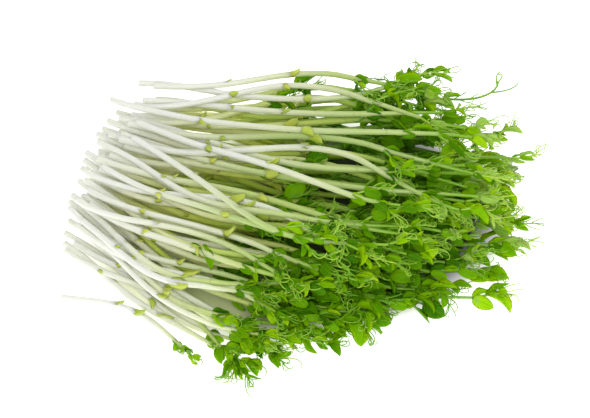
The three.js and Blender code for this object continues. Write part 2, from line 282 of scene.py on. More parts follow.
# %% Closed forms
def closed_grid(points, uv_scale=1.0, **values):
    """A form from points in an array of forms by rings by places round the ring. The first and last
    rings are single points, quads join the other rings, and triangles close the ends. Each value in
    values is spread over the same array and kept for every vertex."""
    forms, rings, sides, _ = points.shape
    per_form = (rings - 2) * sides + 2
    ring, place = np.meshgrid(np.arange(rings), np.arange(sides + 1), indexing="ij")
    index = 1 + (ring - 1) * sides + place % sides
    index[0], index[-1] = 0, per_form - 1
    start = np.arange(forms)[:, None, None] * per_form
    index = index[None] + start
    uv = np.stack([place / sides, ring / (rings - 1) * uv_scale], axis=-1)
    uv = np.broadcast_to(uv, (forms, rings, sides + 1, 2))

    def corners(a, r, sel):
        return [a[:, r, :-1], a[:, r, 1:], a[:, sel, 1:], a[:, sel, :-1]]

    inner, outer = slice(1, rings - 2), slice(2, rings - 1)
    quads = np.stack(corners(index, inner, outer), axis=-1).reshape(-1, 4)
    quad_uv = np.stack(corners(uv, inner, outer), axis=-2).reshape(-1, 4, 2)
    first = [index[:, 0, :-1], index[:, 1, 1:], index[:, 1, :-1]]
    first_uv = [uv[:, 0, :-1], uv[:, 1, 1:], uv[:, 1, :-1]]
    last = [index[:, -2, :-1], index[:, -2, 1:], index[:, -1, :-1]]
    last_uv = [uv[:, -2, :-1], uv[:, -2, 1:], uv[:, -1, :-1]]
    tris = [np.stack(t, axis=-1).reshape(-1, 3) for t in (first, last)]
    tri_uv = [np.stack(t, axis=-2).reshape(-1, 3, 2) for t in (first_uv, last_uv)]

    def per_vertex(a):
        body = a[:, 1:-1].reshape((forms, (rings - 2) * sides) + a.shape[3:])
        return np.concatenate([a[:, :1, 0], body, a[:, -1:, 0]], axis=1)

    kept = {}
    for name, value in values.items():
        value = np.broadcast_to(np.asarray(value, float), (forms, rings, sides))
        kept[name] = per_vertex(value).reshape(-1)
    return {
        "points": settled(per_vertex(points)).reshape(-1, 3), "values": kept,
        "quads": quads, "quad_uv": quad_uv,
        "tris": np.concatenate(tris), "tri_uv": np.concatenate(tri_uv),
    }


def settled(points):
    """Points below half a millimetre are pressed together above the surface instead of going
    through it: a height z becomes 0.5 exp(z / 0.5 - 1), which meets z smoothly at 0.5."""
    z = points[..., 2]
    low = 0.5 * MM
    pressed = low * np.exp(np.minimum(z / low - 1, 0))
    return np.concatenate([points[..., :2], np.where(z < low, pressed, z)[..., None]], axis=-1)


trial = closed_grid(np.zeros((1, 5, 8, 3)))
print("five rings of eight places:", len(trial["quads"]), "quads,", len(trial["tris"]), "triangles")

# %% [markdown]
# ## Tubes
#
# Stems and tendrils are round. A circle is carried along each path, and needs two directions at
# right angles to it. They come from the path's heading and from one fixed direction, so the circles
# don't twist on the way.

# %% Tubes
def across_path(points, up):
    """Two directions across each path: side at right angles to its heading and to up, and over at
    right angles to side and to the heading."""
    ahead = unit(np.gradient(points, axis=1))
    side = unit(np.cross(ahead, up))
    return side, np.cross(side, ahead)


def tubes(points, widths, sides, up=(0, 0, 1), **values):
    """Round tubes: a circle of each path's width, carried along it. The width is 0 at both ends."""
    side, over = across_path(points, np.asarray(up, float))
    turn = np.arange(sides) / sides * 2 * np.pi
    across = np.sin(turn) * widths[..., None] / 2
    upward = np.cos(turn) * widths[..., None] / 2
    skin = points[:, :, None] + across[..., None] * side[:, :, None]
    skin = skin + upward[..., None] * over[:, :, None]
    return closed_grid(skin, **values)


trial = tubes(np.linspace((0, 0, 1), (1, 0, 1), 5)[None], np.array([[0, 1, 1, 1, 0]]), 8)
print("a straight tube's middle ring starts at", trial["points"][9])

# %% [markdown]
# ## From arrays to a piece
#
# Blender takes whole arrays with foreach_set, which is far quicker than adding faces one by one.
# Several grids go into one mesh, so that a sheaf's stems are one piece, and every vertex keeps its
# values as attributes for the finishes to read.

# %% From arrays to a piece
def make_piece(name, parts, finishes, body="root"):
    """One mesh from several grids, each with the finish of the same rank, as arrays throughout."""
    offsets = np.cumsum([0] + [len(p["points"]) for p in parts])
    points = np.concatenate([p["points"] for p in parts])
    quads = np.concatenate([p["quads"] + o for p, o in zip(parts, offsets)])
    tris = np.concatenate([p["tris"] + o for p, o in zip(parts, offsets)])
    corners = np.concatenate([quads.reshape(-1), tris.reshape(-1)])
    uv = np.concatenate([p["quad_uv"].reshape(-1, 2) for p in parts]
                        + [p["tri_uv"].reshape(-1, 2) for p in parts])
    totals = np.concatenate([np.full(len(quads), 4), np.full(len(tris), 3)])
    starts = np.concatenate([[0], np.cumsum(totals)[:-1]])
    slots = np.concatenate([np.full(len(p["quads"]), i) for i, p in enumerate(parts)]
                           + [np.full(len(p["tris"]), i) for i, p in enumerate(parts)])
    mesh = bpy.data.meshes.new(name)
    mesh.vertices.add(len(points))
    mesh.vertices.foreach_set("co", points.astype(np.float32).reshape(-1))
    mesh.loops.add(len(corners))
    mesh.loops.foreach_set("vertex_index", corners.astype(np.int32))
    mesh.polygons.add(len(totals))
    mesh.polygons.foreach_set("loop_start", starts.astype(np.int32))
    mesh.polygons.foreach_set("material_index", slots.astype(np.int32))
    mesh.polygons.foreach_set("use_smooth", np.ones(len(totals), bool))
    mesh.uv_layers.new(name="UVMap").data.foreach_set("uv", uv.astype(np.float32).reshape(-1))
    for value in parts[0]["values"]:
        data = np.concatenate([p["values"][value] for p in parts]).astype(np.float32)
        mesh.attributes.new(value, "FLOAT", "POINT").data.foreach_set("value", data)
    mesh.update(calc_edges=True)
    mesh.validate()
    for finish in finishes:
        mesh.materials.append(finish)
    piece = bpy.data.objects.new(name, mesh)
    bpy.context.scene.collection.objects.link(piece)
    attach(piece, body)
    return piece


# %% [markdown]
# ## Stems
#
# A pea stem is a smooth, slightly translucent pipe, which thins towards the tip and is a little
# swollen at each node. It is cut square, so its end is a flat disc with a rounded rim. Two rings
# set close to each end keep the smooth shading of the side from running over the cut.

# %% Stems
CUT_WIDTH, GREEN_WIDTH, TIP_WIDTH = 2.3 * MM, 2.0 * MM, 0.9 * MM
STEM_SIDES, STEM_RINGS = 10, 26
# The swelling at a node: its share of the width, and its reach as a share of the length.
NODE_SWELLING, NODE_REACH = 0.14, 0.008


def at_start(rows):
    """Where each shoot starts across the fan, from 0 at the back to 1 at the front."""
    return rows["middle"] + rows["half"] * rows["start"]


def openness(rows):
    """0 for shoots that others hide, and 1 for those at the open front of the heap."""
    return smooth(0.58, 0.95, at_start(rows))


def shade(rows):
    """How deep in the heap a shoot lies, from 0 on top and at the front to 1 at the bottom. The
    colours use it for painted shade and painted light, and it makes deep leaves larger.
    """
    above = np.maximum(4 - rows["layer"] - 0.5 * rows["level"], 0)
    return (1 - openness(rows)) * above / 4


def pale_nodes(rows):
    """The shares of the length where a pale stem has its two nodes."""
    drawn = np.stack([draw(rows["seed"], 31), draw(rows["seed"], 32)], axis=1)
    return np.array([[0.2, 0.44]]) + 0.12 * drawn


def green_nodes(rows):
    """The shares of the length where leaves grow from a green top, the last one at its tip. At the
    front they grow further out, so the pale stems there stay bare."""
    at_edge = smooth(0.8, 1.0, at_start(rows))
    low = mix(0.12, 0.55, at_edge) + 0.16 * draw(rows["seed"], 6)
    top = np.stack([low, mix(low, 1, 0.5), np.ones_like(low)], axis=1)
    return mix(rows["green_from"][:, None], rows["last"][:, None], top)


def stem_width(rows, along):
    """A slight taper from the cut to the green part, then a stronger one to the tip, with a
    bell-shaped swelling at each node."""
    split = rows["green_from"][:, None]
    size = mix(0.92, 1.08, draw(rows["seed"], 3))[:, None]
    pale = mix(CUT_WIDTH, GREEN_WIDTH, along / split)
    green = mix(GREEN_WIDTH, TIP_WIDTH, (along - split) / (rows["last"][:, None] - split))
    width = np.where(along < split, pale, green) * size
    nodes = np.concatenate([pale_nodes(rows), green_nodes(rows)], axis=1)
    away = (along[:, :, None] - nodes[:, None, :]) / NODE_REACH
    return width * (1 + NODE_SWELLING * np.exp(-(away**2)).sum(axis=2))


def stem_colour(rows, along):
    """Two values from 0 to 1 for the finish. green rises softly about a place of the shoot's own,
    and again towards the tip. Deep in the heap both values are higher, by the root of the shade.
    This is painted light: the yellow-green glow of the light that comes down through the stems
    above."""
    green_at = mix(0.36, 0.74, draw(rows["seed"], 33)) - 0.15 * shade(rows) + 0.25 * openness(rows)
    # deep paints in the yellow-green glow of light that comes down through the stems above.
    deep = (np.sqrt(shade(rows)) * (1 - openness(rows)))[:, None] * smooth(0.0, 0.22, along)
    green = 0.62 * smooth(green_at[:, None] - 0.42, green_at[:, None] + 0.2, along)
    to_tip = smooth(0.8 - 0.25 * deep, 1.0 - 0.2 * deep, along / rows["last"][:, None])
    green = np.clip(green + 0.3 * deep + 0.4 * to_tip, 0, 1)
    tone = mix(0.15 * draw(rows["seed"], 34)[:, None], 1, deep)
    return green[..., None], tone[..., None]


def stem_parts(rows, low, high, rim):
    """Stems from share low to share high. rim is how wide the first disc is, against the stem."""
    close = 0.0004
    middle = np.linspace(0.02, 0.98, STEM_RINGS)[None, :]
    body = mix(low[:, None], high[:, None], middle)
    ends = np.array([0, close, 4 * close])
    along = np.concatenate([low[:, None] + ends, body, high[:, None] - ends[::-1]], axis=1)
    widths = stem_width(rows, along)
    widths[:, 0] = widths[:, -1] = 0
    widths[:, 1] *= rim
    green, tone = stem_colour(rows, along)
    length = float(shoot_length(rows).mean()) / MM
    path = shoot_line(rows, along)
    return tubes(path, widths, STEM_SIDES, uv_scale=length, green=green, tone=tone)


print("a stem is", CUT_WIDTH / MM, "mm wide where it is cut")

# %% [markdown]
# ## Blades
#
# Scale leaves, stipules and leaflets are all thin blades that differ in size, fold and curl. One
# formula makes them: a closed, flat ring is carried from root to tip, is folded up about the
# midrib, waved at its edges, and rolled down along its length. A flat plane with a cut-out picture
# would be quicker, but it would have no thickness and no true edge.

# %% Blades
BLADE_RINGS = 9
BLADE_THICK = 0.32 * MM
RING_ACROSS = np.array([0, 0.55, 1, 0.55, 0, -0.55, -1, -0.55])
RING_FACE = np.array([1, 0.8, 0, -0.8, -1, -0.8, 0, 0.8])


def blades(root, ahead, up, length, width, fold, curl, phase, **values):
    """Blades from their roots. The half width is the sine of a power of t, which is broad near the
    root and pointed at the tip. An edge stands up by the fold angle, and moves by a sine wave. The
    line of the blade is an arc of the curl angle."""
    a = unit(ahead)
    s = unit(np.cross(a, up))
    o = np.cross(s, a)
    t = np.linspace(0, 1, BLADE_RINGS)[None, :, None]
    u = RING_ACROSS[None, None, :]
    per_blade = (length, width, fold, curl, phase)
    length, width, fold, curl, phase = (v[:, None, None] for v in per_blade)
    half = width / 2 * np.sin(np.pi * t**0.85) ** 0.62
    lift = half * np.sqrt(u**2 + 0.03) * np.sin(fold)
    wave = 0.09 * width * u**2 * np.sin(8 * t + phase + 1.2 * u) * np.sin(np.pi * t)
    face = RING_FACE[None, None, :] * BLADE_THICK / 2 * np.sin(np.pi * t) ** 0.4
    x = half * u * np.cos(fold)
    z = lift + wave + face
    angle = curl * t
    forward = length * t * np.sinc(angle / np.pi) + z * np.sin(angle)
    upward = z * np.cos(angle) - length * t * np.sin(angle / 2) * np.sinc(angle / 2 / np.pi)
    a, s, o, root = (v[:, None, None, :] for v in (a, s, o, root))
    points = root + forward[..., None] * a + x[..., None] * s + upward[..., None] * o
    return closed_grid(points, **values)


def turned(v, axis, angle):
    """Vectors turned about unit axes, by Rodrigues' formula."""
    c, s = np.cos(angle)[..., None], np.sin(angle)[..., None]
    along = (v * axis).sum(-1, keepdims=True)
    return v * c + np.cross(axis, v) * s + axis * along * (1 - c)


def spread(rows, at):
    """Points, headings and upright normals of the shoots at an array of shares."""
    here = shoot_line(rows, at)
    ahead = unit(shoot_line(rows, at + 0.01) - shoot_line(rows, at - 0.01))
    side = unit(np.cross(ahead, (0, 0, 1)))
    return here, ahead, np.cross(side, ahead)


def flat(*arrays):
    """Arrays of shoots by nodes, laid out as one row of nodes."""
    return [a.reshape((-1,) + a.shape[2:]) for a in arrays]


print("a blade has", (BLADE_RINGS - 3) * len(RING_ACROSS) + 2 * len(RING_ACROSS), "faces")

# %% [markdown]
# ## Scale leaves
#
# The pale part of the stem grew in the dark and has only a small scale at each node, like a fish
# scale, which clasps the stem and points along it. It is a blade that is short, folded round the
# stem and nearly straight.

# %% Scale leaves
def scale_leaves(rows):
    """A blade at each pale node, folded round the stem. The higher one is mostly the longer."""
    at = pale_nodes(rows)
    here, ahead, over = spread(rows, at)
    number = np.arange(2)[None, :] + 0 * at
    seed = rows["seed"][:, None] + 0.3 * number
    here, ahead, over, number, seed = flat(here, ahead, over, number, seed)
    over = turned(over, ahead, mix(-1.5, 1.5, draw(seed, 41)))
    length = mix(2.8, 5.0 + 3.0 * number, draw(seed, 42)) * MM
    lean = turned(ahead, unit(np.cross(ahead, over)), mix(0.1, 0.5, draw(seed, 43)))
    return blades(
        here + over * 0.9 * MM, lean, over, length, 0.72 * length,
        fold=-mix(0.5, 0.9, draw(seed, 44)), curl=mix(-0.5, 0.3, draw(seed, 45)), phase=7 * seed,
        green=(0.62 + 0.22 * draw(seed, 46))[:, None, None], tone=1.0,
    )


print("each pale stem has", pale_nodes(units["loose_shoot_1"]).shape[1], "scale leaves")

# %% [markdown]
# ## Leaf stalks
#
# A pea leaf starts as a thin stalk, which carries the leaflets and runs on as a tendril. There is
# one at each node of a green top. It leans where the solid leaflet leans, so the finer leaves stay
# in the layer. At the open front the stalks are shorter, and the single shoot there has barely
# opened its leaves. One tendril is much longer than all the others. It ends the shoot that has the
# seed below, in the first sheaf of the third layer.

# %% Leaf stalks
# The number of the stalk at the tip of a shoot. The two below it are 0 and 1.
TIP = 2
STALK_POINTS = 18
LONG_TENDRIL_ON = 211


def curling(root, ahead, up, length, bend, curl, tilt, steps):
    """Paths whose direction turns by bend times t and curl times the cube of t. The turn is in a
    plane through ahead that tilt swings about it. The points are the running sum of the
    directions."""
    a = unit(ahead)
    s = unit(np.cross(a, up))
    o = np.cross(s, a)
    t = np.linspace(0, 1, steps)[None, :]
    angle = (bend[:, None] * t + curl[:, None] * t**3)[..., None]
    sideways = s * np.cos(tilt)[:, None] + o * np.sin(tilt)[:, None]
    way = np.cos(angle) * a[:, None] + np.sin(angle) * sideways[:, None]
    step = (way[:, 1:] + way[:, :-1]) / 2 * (length / (steps - 1))[:, None, None]
    return root[:, None] + np.concatenate([np.zeros_like(step[:, :1]), np.cumsum(step, axis=1)], 1)


def early_stalks(rows):
    """The stalks of those pale stems in the lower layers that have a leaf at their upper scale."""
    hidden = (rows["layer"] < 4) & (openness(rows) < 0.3) & ~rows["loose"]
    early = hidden & (draw(rows["seed"], 38) < 0.55)
    some = {name: value[early] for name, value in rows.items()}
    angle = some["side"] * mix(-0.5, 0.5, draw(some["seed"], 39))
    return stalks_at(some, pale_nodes(some)[:, 1:], angle[:, None], np.array([[1]]))


def leaf_stalks(rows):
    """The stalks of the green top, one at each of its nodes. They are numbered from 0 to TIP."""
    side, seed = rows["side"], rows["seed"]
    angle = np.stack([
        side * mix(0.5, 0.8, draw(seed, 8)),
        -side * mix(0.35, 0.65, draw(seed, 9)),
        side * 0.2,
    ], axis=1)
    return stalks_at(rows, green_nodes(rows), angle, np.arange(3)[None, :])


def small_in_front(rows):
    """A half for the single shoot in front of the heap, and 1 for all others."""
    return np.where(rows["loose"] & (rows["layer"] == 0), 0.5, 1)


def leaf_light(rows, number, right):
    """Painted light for the leaves, as a factor on their colour: painted shade deep in the heap,
    and painted light where the heap ends at the right."""
    light = 1 - shade(rows)[:, None] * np.where(number == TIP, 0.35, 0.75)
    return light * mix(0.82, 1.5, smooth(30 * MM, 65 * MM, right))


def leaf_size(rows, number):
    """The leaves' share of their full size: smaller at the front and in the upper layers, and
    larger deep in the heap, where they have to fill it."""
    size = np.where(rows["layer"] < 2, 1 - 0.1 * openness(rows), 0.86) * small_in_front(rows)
    return size[:, None] + shade(rows)[:, None] * np.where(number == TIP, 0.2, 0.4)


def stalks_at(rows, at, angle, number):
    """Stalks at shares of the length, as paths, with what is needed to hang leaflets on them."""
    here, ahead, over = spread(rows, at)
    light, size = leaf_light(rows, number, here[..., 0]), leaf_size(rows, number)
    slim = (1 - 0.4 * openness(rows)) * small_in_front(rows)
    outer = (rows["layer"] < 2) * (1 - openness(rows))
    per_shoot = (rows["level"], rows["seed"], slim, outer)
    level, shoot, slim, outer = (np.broadcast_to(v[:, None], at.shape) for v in per_shoot)
    number = np.broadcast_to(number, at.shape)
    seed = shoot + 0.17 * (1 + number) + at
    here, ahead, over, angle, light, size = flat(here, ahead, over, angle, light, size)
    level, shoot, slim, outer, number, seed = flat(level, shoot, slim, outer, number, seed)
    rise = np.where(level > 0, mix(0.1, 0.45, draw(seed, 51)), mix(-0.25, 0.15, draw(seed, 51)))
    way = turned(ahead, over, slim * angle)
    way = unit(way + rise[:, None] * np.array([[0, 0, 1.0]]))
    at_tip = mix(11, 16, draw(seed, 52)) + 6 * outer
    length = slim * np.where(number == TIP, at_tip, mix(15, 24, draw(seed, 52))) * MM
    bend = mix(-0.6, 0.6, draw(seed, 53))
    curl = mix(-4.5, 4.5, draw(seed, 54))
    tilt = mix(-0.6, 0.9, draw(seed, 55))
    longest = (shoot == LONG_TENDRIL_ON) & (number == TIP)
    for value, own in ((length, 33 * MM), (bend, 0.35), (curl, -2.6), (tilt, 0.1)):
        value[longest] = own
    path = curling(here, way, over, length, bend, curl, tilt, steps=STALK_POINTS)
    return {
        "path": path, "over": over, "here": here, "ahead": ahead, "light": light, "size": size,
        "number": number, "seed": seed, "longest": longest, "low": outer > 0.1,
    }


print("a sheaf has", len(leaf_stalks(units["layer_1_sheaf_1"])["seed"]), "leaf stalks")

# %% [markdown]
# ## Tendrils
#
# A pea climbs by its tendrils. The stalk thins into one, and finer ones leave it by turns to the
# left and right, each with a curl of its own. They are tubes of only five sides, because there are
# hundreds of them and hardly one is half a millimetre thick at its end.

# %% Tendrils
# For each fork: the point of the stalk that it leaves from, and the side that it leaves to.
FORKS = [(6, 1), (7, -1), (9, 1), (10, -1), (12, 1), (13, -1)]


def threads(points, thick, thin, **values):
    """Five-sided tubes that taper evenly from thick to thin."""
    t = np.linspace(0, 1, points.shape[1])[None, :]
    widths = mix(thick[:, None], thin[:, None], t)
    widths[:, 0] = widths[:, -1] = 0
    return tubes(points, widths, 5, up=(0.17, 0.11, 0.98), uv_scale=20.0, **values)


def stalk_threads(stalks):
    """The stalk itself, which runs on as a tendril."""
    seed = stalks["seed"]
    tone = (stalks["light"] * mix(0.4, 1, draw(seed, 56)))[:, None, None]
    thin = np.where(stalks["longest"], 0.7, 0.3) * MM
    return threads(stalks["path"], 0.95 * MM + 0 * seed, thin, green=0.8, tone=tone)


def fork_threads(stalks):
    """Finer tendrils that leave the stalk one after another beyond its first leaflets, and that are
    shorter towards the end. Each curls to its own side. The long tendril has three of them at its
    end, which are longer and straighter."""
    parts = []
    for fork, (point, away) in enumerate(FORKS):
        seed = stalks["seed"] + 0.05 * (fork + 1)
        end = stalks["longest"] & (fork > 2)
        grown = np.where(end, 2.2, np.minimum(stalks["size"], 1))
        each, place = np.arange(len(seed)), np.where(end, point + 3, point)
        root = stalks["path"][each, place]
        way = unit(stalks["path"][each, place + 1] - root)
        way = turned(way, stalks["over"], away * mix(0.25, 0.75, draw(seed, 61)))
        path = curling(
            root, way, stalks["over"],
            grown * mix(6, 14, draw(seed, 62)) * (1 - 0.1 * fork) * MM,
            bend=away * mix(-0.6, 0.8, draw(seed, 63)),
            curl=away * mix(1.5, 7.0, draw(seed, 64)) * np.where(end, 0.2, 1),
            tilt=mix(-1.0, 1.3, draw(seed, 65)), steps=13,
        )
        tone = (stalks["light"] * mix(0.4, 1, draw(seed, 66)))[:, None, None]
        thick = np.where(end, 0.65, 0.42) * MM
        parts.append(threads(path, thick, 0.62 * thick, green=0.85, tone=tone))
    return parts


print("each stalk has", len(FORKS), "finer tendrils")

# %% [markdown]
# ## Stipules and leaflets
#
# Two stipules clasp the stem at each node, and each stalk carries a pair of leaflets. In the two
# lowest layers, whose tips reach out furthest, a second and smaller pair follows along the stalk.
# The leaflets at the tip of a shoot are the youngest, and are more folded and lighter.

# %% Stipules and leaflets
def stipules(stalks):
    """A pair of blades at each node, close to the stem and cupped towards it."""
    parts = []
    for away in (1, -1):
        seed = stalks["seed"] + 0.03 * away
        way = turned(stalks["ahead"], stalks["over"], away * mix(0.1, 0.6, draw(seed, 71)))
        up = turned(stalks["over"], stalks["ahead"], -away * mix(0.3, 1.4, draw(seed, 72)))
        length = stalks["size"] * mix(4.5, 7.5, draw(seed, 73)) * MM
        tone = stalks["light"] * 0.85 * draw(seed, 77)
        parts.append(blades(
            stalks["here"], way, up, length, mix(0.5, 0.72, draw(seed, 74)) * length,
            fold=mix(0.2, 1.0, draw(seed, 75)), curl=mix(-0.4, 0.8, draw(seed, 76)), phase=9 * seed,
            green=0.9, tone=tone[:, None, None],
        ))
    return parts


def leaflets(stalks, place, part):
    """A pair of blades at a place along each stalk. Those at the tip of a shoot are lighter and
    more folded. part is their share of the full size."""
    parts = []
    for away in (1, -1):
        seed = stalks["seed"] + 0.07 * away + 0.01 * place
        young = stalks["number"] == TIP
        root = stalks["path"][:, place]
        way = unit(stalks["path"][:, place + 1] - stalks["path"][:, place - 1])
        way = turned(way, stalks["over"], away * mix(0.15, 0.75, draw(seed, 81)))
        up = turned(stalks["over"], way, mix(-1.1, 1.1, draw(seed, 82)))
        length = part * stalks["size"] * mix(4.5, 10.0, draw(seed, 83) ** 1.5) * MM
        fold = mix(np.where(young, 0.5, 0.3), 1.4, draw(seed, 85))
        tone = stalks["light"] * mix(0.45 * young, 1, draw(seed, 87))
        parts.append(blades(
            root, way, up, length, mix(0.56, 0.84, draw(seed, 84)) * length,
            fold=fold, curl=mix(-0.4, 1.5, draw(seed, 86)), phase=11 * seed,
            green=0.9, tone=tone[:, None, None],
        ))
    return parts


print("each leaf stalk has", len(stipules(leaf_stalks(units["loose_shoot_1"]))), "stipules")

# %% [markdown]
# ## What a finish is made of
#
# A finish is a small graph of nodes that ends in Blender's Principled shader. Each node is added by
# one call, which sets its inputs by name. An input gets a plain value or the output of another
# node, so a graph reads like a formula.

# %% Tools for finishes
def feed(socket, value):
    """Sets an input to a plain value, or links it to another node's output."""
    if isinstance(value, bpy.types.NodeSocket):
        socket.id_data.links.new(value, socket)
    else:
        socket.default_value = value


def fill(made, **inputs):
    """Feeds a node's inputs by their names, with _ in place of a space."""
    for name, value in inputs.items():
        feed(made.inputs[name.replace("_", " ")], value)
    return made


def new_finish(name):
    """A material, its Principled shader, and a helper that adds a node to it."""
    finish = bpy.data.materials.new(name)
    finish.use_nodes = True
    nodes = finish.node_tree.nodes

    def node(kind, settings=None, **inputs):
        made = nodes.new("ShaderNode" + kind)
        for key, value in (settings or {}).items():
            setattr(made, key, value)
        return fill(made, **inputs)

    return finish, nodes["Principled BSDF"], node


def worked(node, operation, *values):
    """The output of a maths node, whose inputs are given in their order."""
    made = node("Math", {"operation": operation})
    for socket, value in zip(made.inputs, values):
        feed(socket, value)
    return made.outputs[0]


def ramp(node, factor, stops):
    """A scale of colours, each at its place from 0 to 1."""
    made = node("ValToRGB", Fac=factor)
    elements = made.color_ramp.elements
    while len(elements) < len(stops):
        elements.new(0.5)
    for element, (place, colour) in zip(elements, stops):
        element.position = place
        element.color = (*colour, 1)
    return made.outputs["Color"]


print("a node's input gets a value or a link")

# %% [markdown]
# ## The stems' finish
#
# A stem runs from near white to green by the "green" value that every vertex carries. It has two
# such scales of colour, one for the outer stems and a yellower, brighter one for those deep in the
# heap. The second is painted light: the glow of the light that comes down to them through the stems
# above. A second value that every vertex carries, a little random and mostly the depth, mixes the
# two. Faint streaks run along it, and light goes a little way in, as it does in anything that is
# mostly water.

# %% The stems' finish
def stem_finish():
    """Two scales of colour by green, mixed by tone, times a noise stretched along the stem."""
    finish, shader, node = new_finish("stem")
    green = node("Attribute", {"attribute_name": "green"}).outputs["Fac"]
    tone = node("Attribute", {"attribute_name": "tone"}).outputs["Fac"]
    place = node("UVMap").outputs["UV"]
    stretched = node("Mapping", Vector=place, Scale=(9, 0.12, 1)).outputs["Vector"]
    noise = node("TexNoise", Vector=stretched, Scale=1.0, Detail=3.0, Roughness=0.6)
    streaks = noise.outputs["Fac"]
    outer = ramp(node, green, [
        (0.0, (0.86, 0.87, 0.80)), (0.3, (0.75, 0.79, 0.55)),
        (0.6, (0.49, 0.62, 0.22)), (1.0, (0.23, 0.47, 0.004)),
    ])
    # The yellower, brighter scale for stems deep in the heap is painted light from the stems above.
    inner = ramp(node, green, [
        (0.0, (0.90, 0.91, 0.62)), (0.3, (0.89, 0.92, 0.32)),
        (0.6, (0.76, 0.84, 0.11)), (1.0, (0.19, 0.41, 0.003)),
    ])
    mixed = node("Mix", {"data_type": "RGBA"}, Factor=tone, A=outer, B=inner)
    light = node("MapRange", Value=streaks, To_Min=0.82, To_Max=1.1)
    streaky = node(
        "Mix", {"data_type": "RGBA", "blend_type": "MULTIPLY"},
        Factor=1.0, A=mixed.outputs["Result"], B=light.outputs["Result"],
    )
    bump = node("Bump", Strength=0.25, Distance=0.2 * MM, Height=streaks)
    fill(
        shader, Base_Color=streaky.outputs["Result"], Roughness=0.38, Subsurface_Weight=0.45,
        Subsurface_Radius=(1.0, 1.0, 0.8), Subsurface_Scale=1.4 * MM,
        Normal=bump.outputs["Normal"],
    )
    return finish


STEM = stem_finish()
print("the stems' finish has", len(STEM.node_tree.nodes), "nodes")

# %% [markdown]
# ## The leaves' finish
#
# A leaf goes from a deep to a fresh green by a value of its own: a random tone times painted light,
# which is painted shade deep in the heap and painted light where the heap ends at the right. A soft
# cloud of noise keeps it from being even. Its paler veins are worked out from the UV map.
# There X runs round the blade and Y from root to tip, so the distance to the midrib is X folded
# back and forth every quarter. A leaf has a natural bloom, so it shines little.

# %% The leaves' finish
def leaf_finish():
    """A scale of colours by tone plus noise. The ribs are the crests of a sine of Y less 1.3 times
    the distance to the midrib, which makes them slant, and the midrib is where that distance is
    least."""
    finish, shader, node = new_finish("leaf")
    tone = node("Attribute", {"attribute_name": "tone"}).outputs["Fac"]
    spots = node("TexCoord").outputs["Object"]
    cloud = node("TexNoise", Vector=spots, Scale=160.0, Detail=4.0, Roughness=0.6)
    shifted = worked(node, "MULTIPLY_ADD", cloud.outputs["Fac"], 0.3, tone)
    plain = ramp(node, shifted, [
        (0.1, (0.02, 0.12, 0.0)), (0.4, (0.09, 0.27, 0.0)), (0.75, (0.21, 0.47, 0.0)),
        (0.95, (0.37, 0.66, 0.003)), (1.0, (0.36, 0.58, 0.10)),
    ])
    place = node("SeparateXYZ", Vector=node("UVMap").outputs["UV"])
    aside = worked(node, "PINGPONG", place.outputs["X"], 0.25)
    slant = worked(node, "MULTIPLY_ADD", aside, -1.3, place.outputs["Y"])
    waves = worked(node, "SINE", worked(node, "MULTIPLY", slant, 44.0))
    ribs = node("MapRange", Value=waves, From_Min=0.8, From_Max=1.0)
    midrib = node("MapRange", Value=aside, From_Min=0.03, From_Max=0.0)
    veins = worked(node, "MAXIMUM", ribs.outputs["Result"], midrib.outputs["Result"])
    veined = node(
        "Mix", {"data_type": "RGBA"},
        Factor=worked(node, "MULTIPLY", veins, 0.35), A=plain, B=(0.24, 0.48, 0.02, 1),
    )
    bump = node("Bump", Strength=0.5, Distance=0.15 * MM, Height=veins)
    fill(
        shader, Base_Color=veined.outputs["Result"], Roughness=0.4, Specular_IOR_Level=0.04,
        Subsurface_Weight=0.25, Subsurface_Radius=(0.6, 1.0, 0.15), Subsurface_Scale=1.2 * MM,
        Normal=bump.outputs["Normal"],
    )
    return finish


LEAF = leaf_finish()
print("the leaves' finish has", len(LEAF.node_tree.nodes), "nodes")

# %% [markdown]
# ## The tendrils' finish
#
# Stalks and tendrils are too thin for any pattern to be seen on them. They differ by one value
# alone, a random tone times the same painted shade and painted light as the leaves, from a deep to
# a yellowish green, and let a little light in.

# %% The tendrils' finish
def thread_finish():
    """A scale of colours by tone."""
    finish, shader, node = new_finish("thread")
    tone = node("Attribute", {"attribute_name": "tone"}).outputs["Fac"]
    colour = ramp(node, tone, [
        (0.0, (0.04, 0.18, 0.0)), (0.4, (0.17, 0.43, 0.003)), (1.0, (0.48, 0.72, 0.07)),
    ])
    fill(
        shader, Base_Color=colour, Roughness=0.45, Subsurface_Weight=0.2,
        Subsurface_Scale=0.8 * MM,
    )
    return finish


THREAD = thread_finish()
print("the tendrils' finish has", len(THREAD.node_tree.nodes), "nodes")

# %% [markdown]
# ## Putting the heap together
#
# Each sheaf becomes two pieces, as in the solid model: its pale stems with their scale leaves, and
# its green tops. Each piece stands for the solid node of the same place. Where a pale stem deep in
# the heap has grown a leaf early, that leaf belongs to the piece with the stems.

# %% Putting the heap together
def leafy_parts(stalks):
    """All that hangs on some stalks, with the finish of each part. Those of the two lowest layers
    have a second, smaller pair of leaflets."""
    thin = [stalk_threads(stalks)] + fork_threads(stalks)
    blade = stipules(stalks) + leaflets(stalks, place=4, part=1.0)
    if stalks["low"].any():
        blade += leaflets(stalks, place=8, part=0.75)
    return thin + blade, [THREAD] * len(thin) + [LEAF] * len(blade)


